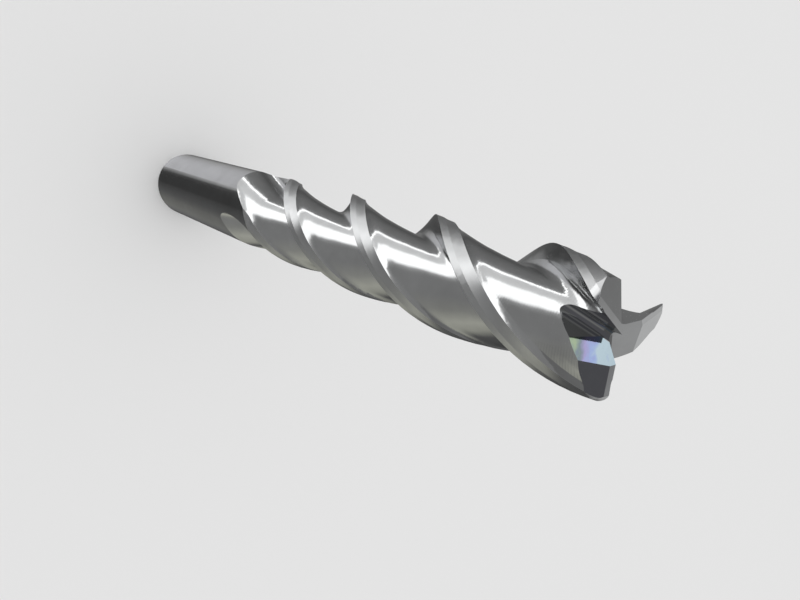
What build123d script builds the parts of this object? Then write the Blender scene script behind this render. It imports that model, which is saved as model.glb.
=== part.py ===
from build123d import *
import math
import os

# Long three-flute endmill, ground from one carbide rod and standing on its shank end.
# The tool axis is Z with the cutting end at the top. At the tip the long tooth lies on the +X side.

# Overall sizes
cutting_diameter = 19.05
overall_length = 165.1
shank_chamfer = 0.8

# Flutes, ground to full depth and then lifted out of the rod: angle, distance and length of the lift
flute_count = 3
ground_length = 97.0
helix_angle = 36.0
core_diameter = 10.2
rake_angle = 2.0
gullet_radius = 2.0
back_slope_inner = 14.4
back_slope_outer = 25.0
heel_hollow_start = 92.0
heel_hollow_radius = 2.7
heel_hollow_turn = 57.0
flute_lift = (22.0, 5.6, 20.0)
flute_turn_back = 64.0

# Lands behind each cutting edge
margin_width = 0.12
primary_relief = 11.0
primary_width = 1.3
secondary_relief = 26.0
secondary_width = 4.5
relief_lift = (-12.0, 2.0, 8.0)

# Rounded outer corner of each tooth, and the angles where its arc leaves the side and meets the end edge
corner_radius = 1.524
corner_entry = 12.0
corner_exit = 80.0

# Cutting end
dish_angle = 2.0
end_primary_relief = 8.0
end_primary_width = 1.0
end_secondary_relief = 19.0
end_front_angle = 25.0

# Notches in front of the end edges: depth at the axis, descent outwards and rise of the floor to the next tooth
gash = (3.2, 39.0, 31.0)
gash_relief = (2.86, 30.2, 20.6)
long_tooth_gash = (0.53, 45.0, 10.0)
gash_corner_radius = 1.0

# Turn of the helix between two cross-sections, steps of the curved back and of a rounded corner, how gently a
# cut lifts out, and how far cuts pass outside the rod
section_step = 24.0
back_steps = 4
corner_steps = 6
lift_ease = 1.4
overcut = 1.8

radius = cutting_diameter / 2
core_radius = core_diameter / 2
outside = radius + 2 * overcut
tooth_pitch = 360 / flute_count
lead_per_degree = math.radians(radius / math.tan(math.radians(helix_angle)))
tip = overall_length
ground_end = tip - ground_length
end_radius = radius - corner_radius * (
    math.cos(math.radians(corner_entry)) - math.cos(math.radians(corner_exit)))
rod_top = tip + corner_radius * (1 - math.sin(math.radians(corner_exit)))


def polar(r, degrees):
    """A point of a cross-section, by its distance from the axis and its angle."""
    return Vector(r * math.cos(math.radians(degrees)), r * math.sin(math.radians(degrees)))


def flute_outline():
    """The space in front of a tooth whose edge lies on +X: rake face, gullet, then the back and heel of the next."""
    edge = Vector(radius, 0)
    inwards = polar(1, 180 + rake_angle)
    # The gullet's arc touches the rake face and the core circle
    center_distance = core_radius + gullet_radius
    beside = radius * math.sin(math.radians(rake_angle)) - gullet_radius
    gullet_angle = math.degrees(math.asin(-beside / center_distance)) + rake_angle
    center = polar(center_distance, gullet_angle)
    foot = center - polar(gullet_radius, 90 + rake_angle)
    # It leads into the back where both have the same direction
    back_start = gullet_angle + math.degrees(
        math.asin(gullet_radius * math.sin(math.radians(back_slope_inner)) / center_distance))
    gullet = JernArc(foot, inwards, gullet_radius, back_start - back_slope_inner - 90 - rake_angle)
    # The back's slope grows evenly with the angle
    span = heel_hollow_start - back_start
    growth = (back_slope_outer - back_slope_inner) / span
    points = []
    for i in range(back_steps + 1):
        turn = span * i / back_steps
        slope = math.radians(back_slope_inner + growth * turn)
        swell = (math.cos(math.radians(back_slope_inner)) / math.cos(slope)) ** (1 / growth)
        points.append(polar((gullet @ 1).length * swell, back_start + turn))
    heel_direction = polar(1, heel_hollow_start + 90 - back_slope_outer)
    back = Spline(*points, tangents=[gullet % 1, heel_direction])
    heel = JernArc(back @ 1, heel_direction, heel_hollow_radius, -heel_hollow_turn)
    wall_end = (heel @ 1) + (heel % 1) * overcut
    rake_out = edge - inwards * overcut
    over = ThreePointArc(wall_end, polar(outside, heel_hollow_start / 2), rake_out)
    return Wire([Line(rake_out, foot), gullet, back, heel, Line(heel @ 1, wall_end), over])


def relief_outline(lead=0):
    """The stock ground off behind a cutting edge on +X: two flats that fall away, the first begun a lead ahead."""
    margin = math.degrees(margin_width / radius)
    edge = polar(radius, -margin)
    start = edge + polar(lead, 90 - margin - primary_relief)
    knee = edge + polar(primary_width, -margin - 90 - primary_relief)
    end = knee + polar(secondary_width, -margin - 90 - secondary_relief)
    end_angle = math.degrees(math.atan2(end.Y, end.X))
    end_out = polar(outside, end_angle)
    start_out = start + Vector(overcut, 0)
    over = ThreePointArc(end_out, polar(outside, end_angle / 2), start_out)
    return Wire([Line(start, knee), Line(knee, end), Line(end, end_out), over, Line(start_out, start)])


def at_height(outline, height, lift=Vector(0, 0)):
    """A section's outline at its height, turned as the helix turns."""
    return Pos(0, 0, height) * Rot(0, 0, (height - tip) / lead_per_degree) * Pos(lift.X, lift.Y, 0) * outline


def around(tool):
    """A cut repeated once for each tooth."""
    return [Rot(0, 0, i * tooth_pitch) * tool for i in range(flute_count)]


def fluted_length():
    """The length with lands: the ground section carried up the helix."""
    section = Face.make_rect(4 * radius, 4 * radius) & Circle(radius)
    for tool in around(Face(flute_outline())) + around(Face(relief_outline())):
        section = section - tool
    length = rod_top - ground_end
    steps = math.ceil(length / lead_per_degree / section_step)
    return loft([at_height(section.faces()[0], ground_end + length * i / steps) for i in range(steps + 1)])


def run_out(outline, lift, turn_back=0):
    """The end of a ground cut: full depth where it meets the ground length, then lifted out as it turns less."""
    lift_angle, distance, length = lift
    steps = math.ceil(length / lead_per_degree / section_step * 2)
    sections = [at_height(Face(outline), ground_end + overcut)]
    for i in range(steps + 1):
        eased = (i / steps) ** lift_ease
        section = Rot(0, 0, turn_back * eased) * Pos(*polar(distance * eased, lift_angle)) * Face(outline)
        sections.append(at_height(section, ground_end - length * i / steps))
    return loft(sections[::-1])


def plain_length():
    """The shank with its chamfered end, and the ends of the flutes and lands above it."""
    rod = Cylinder(radius, ground_end, align=(Align.CENTER, Align.CENTER, Align.MIN))
    rod = chamfer(rod.edges().sort_by(Axis.Z)[0], shank_chamfer)
    flute = run_out(flute_outline(), flute_lift, flute_turn_back)
    relief = run_out(relief_outline(), relief_lift)
    for tool in around(flute) + around(relief):
        rod = rod - tool
    return rod


def corner_cut():
    """The rounding of a tooth's outer corner: its relief carried inwards around the corner."""
    outline = Face(relief_outline(overcut))
    sections = []
    for i in range(corner_steps + 1):
        turn = math.radians(90 * i / corner_steps)
        inset = corner_radius * (math.cos(math.radians(corner_entry)) - math.cos(turn))
        height = rod_top - corner_radius * (1 - math.sin(turn))
        sections.append(at_height(outline, height, Vector(-inset, 0)))
    return loft(sections)


def end_relief():
    """The stock above a tooth's end edge and its two reliefs, within the tooth's share of the end."""
    back = 2 * radius
    knee = -end_primary_width * math.tan(math.radians(end_primary_relief))
    low = knee - (back - end_primary_width) * math.tan(math.radians(end_secondary_relief))
    points = [(radius, 0), (0, 0), (-end_primary_width, knee), (-back, low), (-back, outside), (radius, outside)]
    along = Vector(math.cos(math.radians(dish_angle)), 0, math.sin(math.radians(dish_angle)))
    start = Vector(end_radius, 0, tip) - along * 2 * radius
    profile = Plane(origin=start, x_dir=(0, 1, 0), z_dir=(1, 0, 0)) * make_face(Polyline(*points, close=True))
    cut = extrude(profile, 4 * radius, dir=along)
    rays = [polar(3 * radius, end_front_angle - tooth_pitch * i / 2) for i in range(3)]
    share = make_face(Polyline((0, 0), *[(ray.X, ray.Y) for ray in rays], close=True))
    return cut & Pos(0, 0, tip - 2 * radius) * extrude(share, 4 * radius)


def notch(tooth, shape):
    """The cut in front of a tooth's end edge: a wall below the edge and a floor that rises to the next tooth."""
    depth, descent, rise = shape
    across = 3 * radius
    points = [(0, 0), (0, across), (across, across), (across, across * math.tan(math.radians(rise)))]
    profile = make_face(Polyline(*points, close=True))
    profile = fillet(profile.vertices().sort_by_distance((0, 0, 0))[0], gash_corner_radius)
    along = Vector(math.cos(math.radians(descent)), 0, -math.sin(math.radians(descent)))
    start = Vector(0, 0, tip - depth) - along * across
    cut = extrude(Plane(origin=start, x_dir=(0, 1, 0), z_dir=along) * profile, 2 * across)
    return Rot(0, 0, tooth * tooth_pitch) * cut


def cutting_end(rod):
    """The tip of the rod with its outer corners rounded, its end relieved and its gashes ground."""
    for tool in around(corner_cut()) + around(end_relief()):
        rod = rod - tool
    for tooth in range(flute_count - 1):
        rod = rod - notch(tooth, gash) - notch(tooth, gash_relief)
    # The last notch stays clear of the long tooth, which reaches the axis
    return rod - notch(flute_count - 1, long_tooth_gash)


endmill = plain_length() + cutting_end(fluted_length())
os.makedirs("parts", exist_ok=True)
export_step(endmill, "parts/endmill.step")
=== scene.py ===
# %% [markdown]
# # A long three-flute end mill in ground carbide
# The tool is one bar of bright, uncoated carbide. Its shank was ground round, its flutes and lands
# were ground along the helix, and its end teeth were ground last, one small flat after another.
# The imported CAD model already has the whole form, so this script sorts its faces by how they were
# ground and gives each sort its own finish.
# Everything is in metres, and the tool stands on the end of its shank with its axis on Z.

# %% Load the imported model
import math

import bmesh
import bpy
from mathutils import Matrix, Vector


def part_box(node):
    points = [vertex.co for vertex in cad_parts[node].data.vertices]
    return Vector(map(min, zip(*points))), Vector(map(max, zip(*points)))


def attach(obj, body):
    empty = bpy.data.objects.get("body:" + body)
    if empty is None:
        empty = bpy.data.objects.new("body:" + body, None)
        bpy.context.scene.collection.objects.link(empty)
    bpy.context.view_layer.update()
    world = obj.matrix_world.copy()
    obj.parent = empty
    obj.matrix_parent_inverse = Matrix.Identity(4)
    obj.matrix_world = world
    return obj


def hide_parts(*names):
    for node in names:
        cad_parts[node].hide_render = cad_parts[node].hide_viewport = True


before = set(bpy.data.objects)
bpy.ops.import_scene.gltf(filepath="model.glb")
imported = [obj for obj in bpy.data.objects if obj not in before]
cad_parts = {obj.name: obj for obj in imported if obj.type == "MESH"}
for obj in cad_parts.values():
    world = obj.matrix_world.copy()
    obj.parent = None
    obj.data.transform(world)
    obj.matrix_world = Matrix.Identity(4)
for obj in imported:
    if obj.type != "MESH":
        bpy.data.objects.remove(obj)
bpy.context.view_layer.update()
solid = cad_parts["endmill"]
low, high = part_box("endmill")
radius = (high.x - low.x) / 2
tip = high.z
tool_axis = Vector((0, 0, 1))
print("diameter", round(2 * radius, 5), "length", round(tip, 5))

# %% [markdown]
# ## The faces, sorted by how they were ground
# A grinder makes an end mill in a few passes, and each leaves its own grain. The rod is ground
# round first, and its shank stays so. The wheel that opens a flute runs along the helix, and so do
# its lines. The lands behind the edges are ground after that, and the gashes and end teeth come
# last with a finer wheel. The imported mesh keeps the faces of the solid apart, so each one is found
# by walking over triangles that share corners. A split by angle could do it too, but it would run
# on over the gentle edges between the flats of a land.

# %% Find the faces of the solid
def face_groups(mesh):
    """The triangles of each face of the solid, which share no corners with another face's."""
    waiting = set(mesh.faces)
    groups = []
    while waiting:
        front = [waiting.pop()]
        group = []
        while front:
            face = front.pop()
            group.append(face)
            near = {other for corner in face.verts for other in corner.link_faces} & waiting
            waiting -= near
            front.extend(near)
        groups.append(group)
    return groups


work = bmesh.new()
work.from_mesh(solid.data)
groups = face_groups(work)
print("faces of the solid", len(groups), "triangles", len(work.faces))

# %% [markdown]
# Where a face lies and which way it looks say what it is. Only the shank starts near the floor.
# Near the tip, the end faces look up, the lands lie far out, and the gashes are what is left. One
# of these, the floor that looks up at the +Y side, has a coloured film. The lands further down
# look straight outwards, which the flutes don't.

# %% Sort them
sort_names = ("shank", "flute", "land", "gash", "film", "end")
SHANK, FLUTE, LAND, GASH, FILM, END = range(len(sort_names))
shank_below = 0.03
end_height = 0.009
end_above = tip - end_height
land_outward = 0.93
land_reach = 0.9
land_radius = land_reach * radius
end_upward = 0.9
film_upward = 0.75


def sort_of(group):
    """How a face was ground, from its height, its distance from the axis and the way it looks."""
    lowest = min(corner.co.z for face in group for corner in face.verts)
    area = sum(face.calc_area() for face in group)
    outward = upward = distance = beside = 0
    for face in group:
        share = face.calc_area() / area
        center = face.calc_center_median()
        spoke = Vector((center.x, center.y, 0))
        distance += share * spoke.length
        beside += share * center.y
        upward += share * face.normal.z
        outward += share * face.normal.dot(spoke.normalized())
    if lowest < shank_below:
        return SHANK
    if lowest > end_above:
        if upward > end_upward:
            return END
        if distance > land_radius:
            return LAND
        return FILM if upward > film_upward and beside > 0 else GASH
    if outward > land_outward and distance > land_radius:
        return LAND
    return FLUTE


sorts = {}
for group in groups:
    sort = sort_of(group)
    for face in group:
        sorts[face.index] = sort
for sort, name in enumerate(sort_names):
    print(name, list(sorts.values()).count(sort))

# %% [markdown]
# ## One finished piece
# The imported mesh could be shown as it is, but its faces don't hold together, so a copy has its
# corners joined. It keeps the form of the solid: only a few slivers with no area go. A face
# remembers its place in the solid's mesh, so that its exact normals and its sort can be given back
# after that. With them the narrow facets of the end stay crisp beside smooth helical faces, which
# no single angle of shading would do.

# %% Join the corners
join_distance = 1e-7
source_of = work.faces.layers.int.new("source")
for face in work.faces:
    face[source_of] = face.index
bmesh.ops.remove_doubles(work, verts=work.verts, dist=join_distance)
piece_mesh = bpy.data.meshes.new("endmill_ground")
work.to_mesh(piece_mesh)
work.free()
print("corners", len(piece_mesh.vertices), "triangles", len(piece_mesh.polygons))

# %% Give back the exact normals
def nearest_corner(triangle, place):
    """The corner of one of the solid's triangles that lies at a place."""
    return min(triangle.loop_indices, key=lambda i: (
        solid.data.vertices[solid.data.loops[i].vertex_index].co - place).length)


exact = []
for face, source in zip(piece_mesh.polygons, piece_mesh.attributes["source"].data):
    face.use_smooth = True
    face.material_index = sorts[source.value]
    for corner in face.loop_indices:
        place = piece_mesh.vertices[piece_mesh.loops[corner].vertex_index].co
        nearest = nearest_corner(solid.data.polygons[source.value], place)
        exact.append(solid.data.corner_normals[nearest].vector.copy())
piece_mesh.attributes.remove(piece_mesh.attributes["source"])
piece_mesh.normals_split_custom_set(exact)
print("normals", len(exact))

# %% Put the piece in the solid's place
piece = bpy.data.objects.new("endmill_ground", piece_mesh)
bpy.context.scene.collection.objects.link(piece)
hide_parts("endmill")
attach(piece, "root")
print("piece", piece.name)

# %% [markdown]
# ## Small helpers for materials
# A finish is a noise drawn out along the way the wheel went, which moves the roughness and the
# normal a little. These helpers add nodes and connect them, so that each finish below fits on a
# few lines.

# %% Add and connect nodes
def add(tree, kind, **values):
    """A new node with its own settings."""
    made = tree.nodes.new(kind)
    for name, value in values.items():
        setattr(made, name, value)
    return made


def connect(tree, value, socket):
    """Gives a socket a number, a tuple or another node's output."""
    if isinstance(value, bpy.types.NodeSocket):
        tree.links.new(value, socket)
    else:
        socket.default_value = value


def connect_named(tree, node, values):
    """Gives several sockets of a node their values, each by its name."""
    for name, value in values.items():
        connect(tree, value, node.inputs[name])


def connect_first(tree, node, *values):
    """Gives the first sockets of a node their values, in order."""
    for value, socket in zip(values, node.inputs):
        connect(tree, value, socket)


# %% Turn one value into another
def math_node(tree, operation, *values):
    made = add(tree, "ShaderNodeMath", operation=operation)
    connect_first(tree, made, *values)
    return made.outputs[0]


def smooth_step(tree, value, start, end):
    """Rises gently from 0 to 1 while a value goes from start to end."""
    made = add(tree, "ShaderNodeMapRange", interpolation_type="SMOOTHSTEP")
    connect_named(tree, made, {"Value": value, "From Min": start, "From Max": end})
    return made.outputs[0]


def spread(tree, value, start, end, low_value, high_value):
    """Goes evenly from a low to a high value while another goes from start to end."""
    made = add(tree, "ShaderNodeMapRange")
    connect_named(tree, made, {
        "Value": value, "From Min": start, "From Max": end,
        "To Min": low_value, "To Max": high_value})
    return made.outputs[0]


def ramp(tree, share, stops):
    """A row of colours by a share from 0 to 1."""
    made = add(tree, "ShaderNodeValToRGB")
    elements = made.color_ramp.elements
    ready = len(elements)
    for i, (place, color) in enumerate(stops):
        stop = elements[i] if i < ready else elements.new(place)
        stop.position = place
        stop.color = (*color, 1)
    connect(tree, share, made.inputs[0])
    return made.outputs[0]


# %% [markdown]
# Lines in a flute follow the helix. Turning each place back by the helix lays them along Z, where
# a plain stretch draws them out. One turn serves every flute and land, because all of them have
# the same helix.

# %% Find places on the tool
helix_angle = math.radians(36)
lead_per_radian = radius / math.tan(helix_angle)
print("height of one turn of the helix", round(2 * math.pi * lead_per_radian, 5))


def object_place(tree):
    return add(tree, "ShaderNodeTexCoord").outputs["Object"]


def part_of(tree, place, axis):
    """One coordinate of a place."""
    parts = add(tree, "ShaderNodeSeparateXYZ")
    connect(tree, place, parts.inputs[0])
    return parts.outputs[axis]


def unwound_place(tree):
    """The place turned back by the helix: along a flute, only its Z changes."""
    place = object_place(tree)
    back = math_node(tree, "MULTIPLY", part_of(tree, place, "Z"), -1 / lead_per_radian)
    turned = add(tree, "ShaderNodeVectorRotate", rotation_type="Z_AXIS")
    connect_named(tree, turned, {"Vector": place, "Angle": back})
    return turned.outputs[0]


def along_axis(tree):
    """The direction of the axis, along which lines that run around the tool scatter light."""
    turned = add(tree, "ShaderNodeVectorTransform", vector_type="VECTOR",
                 convert_from="OBJECT", convert_to="WORLD")
    connect(tree, tool_axis, turned.inputs[0])
    return turned.outputs[0]


# %% Make noise of a real size
evenly = (1, 1, 1)
noise_detail = 3.0
# Most of a noise lies between these two
noise_low = 0.3
noise_high = 0.7


def noise(tree, place, size, stretch=evenly, detail=noise_detail):
    """Noise with features of one size in metres, drawn out along an axis of small stretch."""
    scaled = add(tree, "ShaderNodeVectorMath", operation="MULTIPLY")
    connect_first(tree, scaled, place, stretch)
    made = add(tree, "ShaderNodeTexNoise", noise_dimensions="3D")
    connect_named(tree, made, {"Vector": scaled.outputs[0], "Scale": 1 / size, "Detail": detail})
    return made.outputs[0]


# %% [markdown]
# ## The finishes
# All of them are the same hard metal, a bright and slightly cool grey. They differ in the way
# their lines run, in how deep the lines are and in how dull they make the mirror. Cloudy patches
# of the same two greys keep a large face from looking like paint. The lines could be painted on an
# image, but noise stays sharp from close by and needs no unwrapping.

# %% Make the metal
clean_grey = (0.600, 0.608, 0.612)
dull_grey = (0.525, 0.531, 0.533)
patch_size = 0.006


def plain_patches(tree):
    return noise(tree, object_place(tree), patch_size)


def ground_metal(name, lines, roughness, depth,
                 patches=plain_patches, colors=(dull_grey, clean_grey), brushed=0.0):
    """A metal whose lines and patches come from functions, brushed where its lines are aligned."""
    material = bpy.data.materials.new(name)
    material.use_nodes = True
    tree = material.node_tree
    shader = tree.nodes["Principled BSDF"]
    shader.inputs["Metallic"].default_value = 1.0
    grain = lines(tree)
    bump = add(tree, "ShaderNodeBump")
    connect_named(tree, bump, {"Height": grain, "Distance": depth})
    step = (noise_high - noise_low) / (len(colors) - 1)
    tones = [(noise_low + step * i, color) for i, color in enumerate(colors)]
    connect_named(tree, shader, {
        "Roughness": spread(tree, grain, noise_low, noise_high, *roughness),
        "Base Color": ramp(tree, patches(tree), tones),
        "Normal": bump.outputs[0]})
    if brushed:
        connect_named(tree, shader, {"Anisotropic": brushed, "Tangent": along_axis(tree)})
    return material


# %% [markdown]
# The lines of a pass are given by the size of their noise and by its stretch along each axis. A
# flute also has faint even steps across its lines, which a wave draws better than a noise.

# %% Draw the lines of each pass
feed_step = 0.0004
# The length in which a wave texture of scale 1 repeats
wave_repeat = math.pi / 10
step_share = 0.35


def lines_around(tree):
    """Round the shank, as the part turned under the wheel."""
    return noise(tree, object_place(tree), size=0.004, stretch=(0.4, 0.4, 40.0))


def lines_along_flute(tree):
    """Along the helix, as the wheel ran out of the flute, with faint steps of the feed."""
    streaks = noise(tree, unwound_place(tree), size=0.0003, stretch=(1, 1, 0.015))
    steps = add(tree, "ShaderNodeTexWave", bands_direction="Z")
    connect_named(tree, steps, {
        "Vector": unwound_place(tree), "Scale": wave_repeat / feed_step,
        "Distortion": 1.5, "Detail": 2.0, "Detail Scale": 0.6})
    return math_node(tree, "MULTIPLY_ADD", steps.outputs["Fac"], step_share, streaks)


def lines_across_land(tree):
    """Short lines nearly square to the edge."""
    return noise(tree, unwound_place(tree), size=0.002, stretch=(0.7, 0.7, 9.0))


def lines_of_gash(tree):
    """Hardly any: the wheel was fine and the face is small."""
    return noise(tree, object_place(tree), size=0.0006, stretch=(1, 0.25, 1))


def lines_of_end(tree):
    """Straight across the end."""
    return noise(tree, object_place(tree), size=0.0008, stretch=(1, 0.1, 0.4))


# %% [markdown]
# One gash floor carries a film left by the coolant, thinner than a wavelength at its outer side
# and thicker towards the axis, so its colour goes from green through violet to a pale blue. A row
# of colours by the film's thickness keeps that order, however its contours wander.

# %% Grow the film
green_film = (0.42, 0.52, 0.36)
slate_film = (0.26, 0.32, 0.36)
violet_film = (0.46, 0.42, 0.70)
blue_film = (0.42, 0.52, 0.84)
pale_film = (0.58, 0.72, 0.80)
film_colors = (green_film, slate_film, violet_film, blue_film, pale_film)
film_start = 0.0038
film_end = 0.0
thin_film = 0.15
thick_film = 0.55
wave_share = 0.35


def film_patches(tree):
    """The film's thickness: a slope across the facet, with wavy contours."""
    outwards = part_of(tree, object_place(tree), "X")
    slope = spread(tree, outwards, film_start, film_end, thin_film, thick_film)
    waves = noise(tree, object_place(tree), size=0.0014, stretch=(1, 0.5, 1), detail=2.0)
    return math_node(tree, "MULTIPLY_ADD", waves, wave_share, slope)


# %% Give each sort its finish
mirror = (0.04, 0.08)
bright = (0.07, 0.13)
fine = (0.08, 0.16)
satin = (0.28, 0.36)
finishes = {
    SHANK: ground_metal("shank_ground", lines_around, bright, depth=1.0e-6),
    FLUTE: ground_metal("flute_ground", lines_along_flute, bright, depth=4.0e-6),
    LAND: ground_metal("land_ground", lines_across_land, satin, depth=1.0e-6, brushed=0.5),
    GASH: ground_metal("gash_ground", lines_of_gash, mirror, depth=3.0e-6),
    FILM: ground_metal("gash_film", lines_of_gash, mirror, depth=3.0e-6,
                       patches=film_patches, colors=film_colors),
    END: ground_metal("end_ground", lines_of_end, fine, depth=1.0e-6),
}
for sort in sorted(finishes):
    piece_mesh.materials.append(finishes[sort])
print("finishes", [material.name for material in piece_mesh.materials])

# %% [markdown]
# ## The camera
# The photograph was taken from close by, looking past the cutting end along the tool. The tool lay
# on its side there and stands here, so the camera keeps the same view of it by rolling over.

# %% Place the camera
camera_data = bpy.data.cameras.new("camera")
camera_data.sensor_width = 36.0
camera_data.lens = 29.58
camera_data.clip_start = 0.005
camera_right = Vector((-0.59671, -0.54149, 0.59222))
camera_up = Vector((0.49965, -0.82821, -0.25383))
camera_axes = Matrix((camera_right, camera_up, camera_right.cross(camera_up))).transposed()
camera_place = Vector((0.07358, 0.02438, 0.21220))
camera = bpy.data.objects.new("camera", camera_data)
camera.matrix_world = Matrix.Translation(camera_place) @ camera_axes.to_4x4()
bpy.context.scene.collection.objects.link(camera)
bpy.context.scene.camera = camera
bpy.context.scene.view_settings.view_transform = "Standard"
print("camera to tip", round((camera_place - tip * tool_axis).length, 4))

# %% [markdown]
# ## The studio that the metal mirrors
# Bright metal has little colour of its own: it shows its surroundings. The camera looks down past
# the tool, so the round surfaces mirror what lies below the floor, and a plain floor would leave
# them flat, however the lamps stand. The studio is therefore a pattern by direction that only
# mirrored rays see: a long white lamp, dark walls, and a lighter ground. All other rays see an
# even pale light, and the floor lets mirrored rays through. Angles are counted about the tool's
# axis, from the side of the photograph to its top.

# %% Measure directions
photo_up = Vector((0.672, -0.7405, 0)).normalized()
photo_side = photo_up.cross(tool_axis)
world = bpy.data.worlds.new("studio")
bpy.context.scene.world = world
world.use_nodes = True
world.cycles.sampling_method = "NONE"
studio = world.node_tree
studio.nodes.clear()
direction = add(studio, "ShaderNodeTexCoord").outputs["Generated"]


def along(axis):
    """How far a direction goes along an axis, from -1 to 1."""
    dot = add(studio, "ShaderNodeVectorMath", operation="DOT_PRODUCT")
    connect_first(studio, dot, direction, axis)
    return dot.outputs["Value"]


rise = along(tool_axis)
turn = math_node(studio, "ARCTAN2", along(photo_up), along(photo_side))
print("top of the photograph", [round(value, 3) for value in photo_up])

# %% [markdown]
# Three belts of the studio follow one another by height: what the shank mirrors far below, what
# the lands and flutes mirror in the middle, and what the end facets and the nearest flute mirror
# above. Each is a row of greys by angle about the axis, because a round tool mirrors one angle in a
# line along its length, and these lines are the streaks of bright metal.

# %% Make belts of grey
def tinted(grey, warmth=0.0):
    """A grey with some of its blue left out, or added where the warmth is below 0."""
    return (grey, grey, grey * (1 - warmth))


def grey_belt(angle, stops):
    """Greys by angle in degrees about the tool's axis, some of them with a warmth."""
    turns = math_node(studio, "MULTIPLY_ADD", angle, 1 / (2 * math.pi), 0.5)
    tones = [((degrees + 180) / 360, tinted(*tone)) for degrees, *tone in stops]
    return ramp(studio, math_node(studio, "FRACT", turns), tones)


def blend(share, first, second):
    mix = add(studio, "ShaderNodeMix", data_type="RGBA")
    connect_named(studio, mix, {"Factor": share, "A": first, "B": second})
    return mix.outputs["Result"]


# %% [markdown]
# The lamp is a straight strip that leans against the tool's axis, so the angle at which it shows
# shifts with the height of the direction. It has a thin, very bright line and a broad bright part,
# with a dimmer part between them.

# %% Paint the middle belt
thin_lamp = 3.0
broad_lamp = 1.9
lamp_shift = math.radians(50)
# The rise at which the lamp shows at the angles given below
lamp_rise = -0.47
shift = math_node(studio, "MULTIPLY_ADD", rise, lamp_shift, -lamp_shift * lamp_rise)
middle = grey_belt(math_node(studio, "ADD", turn, shift), [
    # The lighter ground
    (-180, 0.27), (-150, 0.32, 0.06), (-125, 0.50, 0.12), (-108, 0.40, 0.12),
    # The dark walls
    (-92, 0.12), (-60, 0.06), (-20, 0.2), (10, 0.1), (40, 0.2), (62, 0.25), (70.5, 0.3),
    # The lamp
    (72, thin_lamp), (74.5, thin_lamp), (76.5, 0.85), (97, 0.95),
    (100, broad_lamp), (126, broad_lamp),
    # Back to the ground
    (132, 0.4), (142, 0.27)])

# %% Paint the belts below and above
below = grey_belt(turn, [
    # The ground and the dark walls
    (-180, 0.07), (-150, 0.11), (-120, 0.17, 0.05), (-90, 0.19, 0.05), (-70, 0.15), (-40, 0.07),
    (0, 0.1),
    # The glow of the lamp
    (24, 0.34), (60, 0.57, -0.03), (80, 0.62, -0.03), (110, 0.62, -0.03), (122, 0.48),
    # Back to the ground
    (131, 0.1), (142, 0.055)])
above = grey_belt(turn, [
    # The ground
    (-180, 0.2), (-140, 0.22), (-125, 0.1), (-90, 0.2),
    # The walls, lighter at one side
    (-75, 0.45), (-30, 0.62), (-20, 0.5), (-10, 0.27), (10, 0.2), (25, 0.3),
    # The lamp
    (38, 0.8), (48, 1.0), (66, 1.05), (70, broad_lamp), (107, broad_lamp),
    # Back to the ground
    (114, 0.5), (125, 0.33), (150, 0.3)])

# %% Join the belts
overhead = (0.11, 0.11, 0.12, 1)
below_to_middle = (-0.90, -0.82)
middle_to_above = (-0.24, -0.10)
above_to_overhead = (0.66, 0.80)
middle_or_below = blend(smooth_step(studio, rise, *below_to_middle), below, middle)
not_above = blend(smooth_step(studio, rise, *middle_to_above), middle_or_below, above)
surroundings = blend(smooth_step(studio, rise, *above_to_overhead), not_above, overhead)
print("nodes in the studio", len(studio.nodes))

# %% Show it to mirrored rays only
plain_light = (1, 1, 1, 1)
pale_grey = (0.78, 0.78, 0.78, 1)


def background(color):
    made = add(studio, "ShaderNodeBackground")
    connect(studio, color, made.inputs["Color"])
    return made.outputs[0]


def pick(tree, share, first, second):
    """One shader, or the other where the share is 1."""
    made = add(tree, "ShaderNodeMixShader")
    connect_first(tree, made, share, first, second)
    return made.outputs[0]


rays = add(studio, "ShaderNodeLightPath").outputs
unmirrored = pick(studio, rays["Is Camera Ray"], background(plain_light), background(pale_grey))
shown = pick(studio, rays["Is Glossy Ray"], unmirrored, background(surroundings))
connect(studio, shown, add(studio, "ShaderNodeOutputWorld").inputs[0])

# %% [markdown]
# ## The floor
# The floor is as pale as the background, so that its far edge doesn't show. It keeps the tool's
# soft shadow, and mirrored rays pass through it to the studio.

# %% Lay the floor
floor_half = 3.0
grid = bmesh.new()
bmesh.ops.create_grid(grid, x_segments=1, y_segments=1, size=floor_half)
floor_mesh = bpy.data.meshes.new("floor")
grid.to_mesh(floor_mesh)
grid.free()
floor = bpy.data.objects.new("floor", floor_mesh)
bpy.context.scene.collection.objects.link(floor)
print("floor", 2 * floor_half)

# %% Paint the floor
floor_material = bpy.data.materials.new("pale_floor")
floor_material.use_nodes = True
floor_tree = floor_material.node_tree
floor_tree.nodes.clear()
pale = add(floor_tree, "ShaderNodeBsdfDiffuse")
pale.inputs["Color"].default_value = pale_grey
clear = add(floor_tree, "ShaderNodeBsdfTransparent")
mirrored = add(floor_tree, "ShaderNodeLightPath").outputs["Is Glossy Ray"]
floor_shown = pick(floor_tree, mirrored, pale.outputs[0], clear.outputs[0])
connect(floor_tree, floor_shown, add(floor_tree, "ShaderNodeOutputMaterial").inputs[0])
floor_mesh.materials.append(floor_material)
